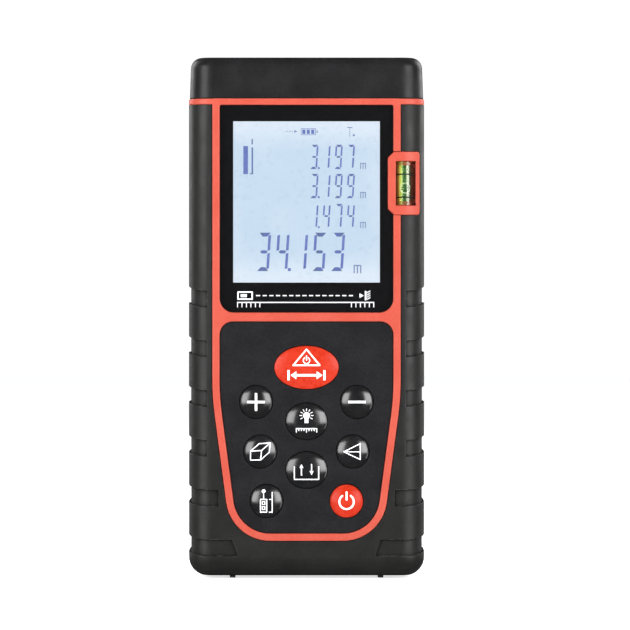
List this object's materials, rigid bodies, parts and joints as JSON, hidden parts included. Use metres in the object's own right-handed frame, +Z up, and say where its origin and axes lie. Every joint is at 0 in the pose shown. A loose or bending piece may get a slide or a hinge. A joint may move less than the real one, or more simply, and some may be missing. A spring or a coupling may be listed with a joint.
{
  "type": "laser distance meter",
  "caption": "Pocket laser rangefinder: rubber-gripped upright housing with a display, a domed keypad, a side bubble level, laser and receiver optics in its top end and a battery bay behind.",
  "frame": {"origin": "middle of the footprint, in the plane of the base stud tips, which is the plane distances are measured from", "axes": "+Z up along the length, towards the end the laser leaves by; -Y out of the display and keypad; +X to the right of someone facing the display, the side that has the bubble level"},
  "size_m": [0.0534, 0.028, 0.118],
  "materials": {
    "red_plastic": "satin moulded plastic",
    "black_rubber": "matte, fine texture",
    "black_plastic": "fine spark texture",
    "cap_plastic": "soft satin",
    "panel_plastic": "fine matte texture",
    "window_clear": "clear acrylic",
    "mask_ink": "printed border behind the window",
    "key_black": "glossy dome",
    "key_red": "glossy dome",
    "silicone": "translucent grey",
    "lcd": "backlit liquid crystal display",
    "white_plastic": "smooth",
    "zebra": "elastomer with carbon stripes",
    "board": "solder mask over glass laminate",
    "chips": "moulded packages",
    "cast_alloy": "cast, lightly blasted",
    "brass": "turned",
    "lens": "coated optical glass",
    "small_window": "flat optical glass",
    "spring_steel": "nickel plated",
    "screw_steel": "blackened",
    "flex": "polyimide film",
    "vial": "clear acrylic",
    "vial_fluid": "yellow-green fluid",
    "bubble": "air bubble",
    "vial_black": "printed index line",
    "cell_sleeve": "lacquered sleeve with a bright end",
    "label": "blank polyester label"
  },
  "bodies": {
    "housing": {"front_casing": "red_plastic", "front_grip": "black_rubber", "rear_casing": "black_plastic", "rear_grip": "black_rubber", "strap_pin": "spring_steel", "rear_label": "label", "datum_studs": "cap_plastic", "top_cap": "cap_plastic", "case_seal": "silicone", "display_window": "window_clear", "window_mask": "mask_ink", "keypad_panel": "panel_plastic", "keypad_mat": "silicone", "lcd_glass": "lcd", "lcd_backlight": "white_plastic", "lcd_frame": "white_plastic", "zebra_strip": "zebra", "main_board": "board", "board_chips": "chips", "buzzer": "chips", "capacitor": "cast_alloy", "optical_chassis": "cast_alloy", "laser_barrel": "brass", "laser_diode": "brass", "collimator_lens": "lens", "laser_window": "small_window", "receiver_lens": "lens", "lens_gasket": "black_rubber", "sensor_board": "board", "photodiode": "brass", "sensor_shield": "spring_steel", "sensor_ribbon": "flex", "level_bracket": "red_plastic", "vial_tube": "vial", "vial_plugs": "red_plastic", "vial_fluid": "vial_fluid", "vial_rings": "vial_black", "aaa_cell_left": "cell_sleeve", "aaa_cell_right": "cell_sleeve", "battery_springs": "spring_steel", "battery_terminals": "spring_steel", "battery_bridge": "spring_steel", "case_screws": "screw_steel", "board_screws": "spring_steel", "chassis_screws": "spring_steel"},
    "key_measure": {"key_measure": "key_red"},
    "key_plus": {"key_plus": "key_black"},
    "key_minus": {"key_minus": "key_black"},
    "key_light": {"key_light": "key_black"},
    "key_volume": {"key_volume": "key_black"},
    "key_triangle": {"key_triangle": "key_black"},
    "key_memory": {"key_memory": "key_black"},
    "key_reference": {"key_reference": "key_black"},
    "key_power": {"key_power": "key_red"},
    "battery_cover": {"battery_cover": "black_plastic"},
    "cover_latch": {"cover_latch": "black_plastic"},
    "level_bubble": {"level_bubble": "bubble"}
  },
  "joints": [
    {"name": "press_measure", "type": "slide", "parent": "housing", "child": "key_measure", "axis": [0, 1, 0], "range_m": [0, 0.0008], "stiffness_N_per_m": 1500},
    {"name": "press_plus", "type": "slide", "parent": "housing", "child": "key_plus", "axis": [0, 1, 0], "range_m": [0, 0.0008], "stiffness_N_per_m": 1500},
    {"name": "press_minus", "type": "slide", "parent": "housing", "child": "key_minus", "axis": [0, 1, 0], "range_m": [0, 0.0008], "stiffness_N_per_m": 1500},
    {"name": "press_light", "type": "slide", "parent": "housing", "child": "key_light", "axis": [0, 1, 0], "range_m": [0, 0.0008], "stiffness_N_per_m": 1500},
    {"name": "press_volume", "type": "slide", "parent": "housing", "child": "key_volume", "axis": [0, 1, 0], "range_m": [0, 0.0008], "stiffness_N_per_m": 1500},
    {"name": "press_triangle", "type": "slide", "parent": "housing", "child": "key_triangle", "axis": [0, 1, 0], "range_m": [0, 0.0008], "stiffness_N_per_m": 1500},
    {"name": "press_memory", "type": "slide", "parent": "housing", "child": "key_memory", "axis": [0, 1, 0], "range_m": [0, 0.0008], "stiffness_N_per_m": 1500},
    {"name": "press_reference", "type": "slide", "parent": "housing", "child": "key_reference", "axis": [0, 1, 0], "range_m": [0, 0.0008], "stiffness_N_per_m": 1500},
    {"name": "press_power", "type": "slide", "parent": "housing", "child": "key_power", "axis": [0, 1, 0], "range_m": [0, 0.0008], "stiffness_N_per_m": 1500},
    {"name": "cover_hinge", "type": "hinge", "parent": "housing", "child": "battery_cover", "pos_m": [0, 0.0131, 0.0084], "axis": [-1, 0, 0], "range_deg": [0, 85]},
    {"name": "latch_flex", "type": "hinge", "parent": "battery_cover", "child": "cover_latch", "pos_m": [0, 0.0129, 0.051], "axis": [1, 0, 0], "range_deg": [0, 7], "stiffness_Nm_per_rad": 0.3},
    {"name": "bubble_travel", "type": "slide", "parent": "housing", "child": "level_bubble", "axis": [0, 0, 1], "range_m": [-0.0015, 0.0035]}
  ]
}
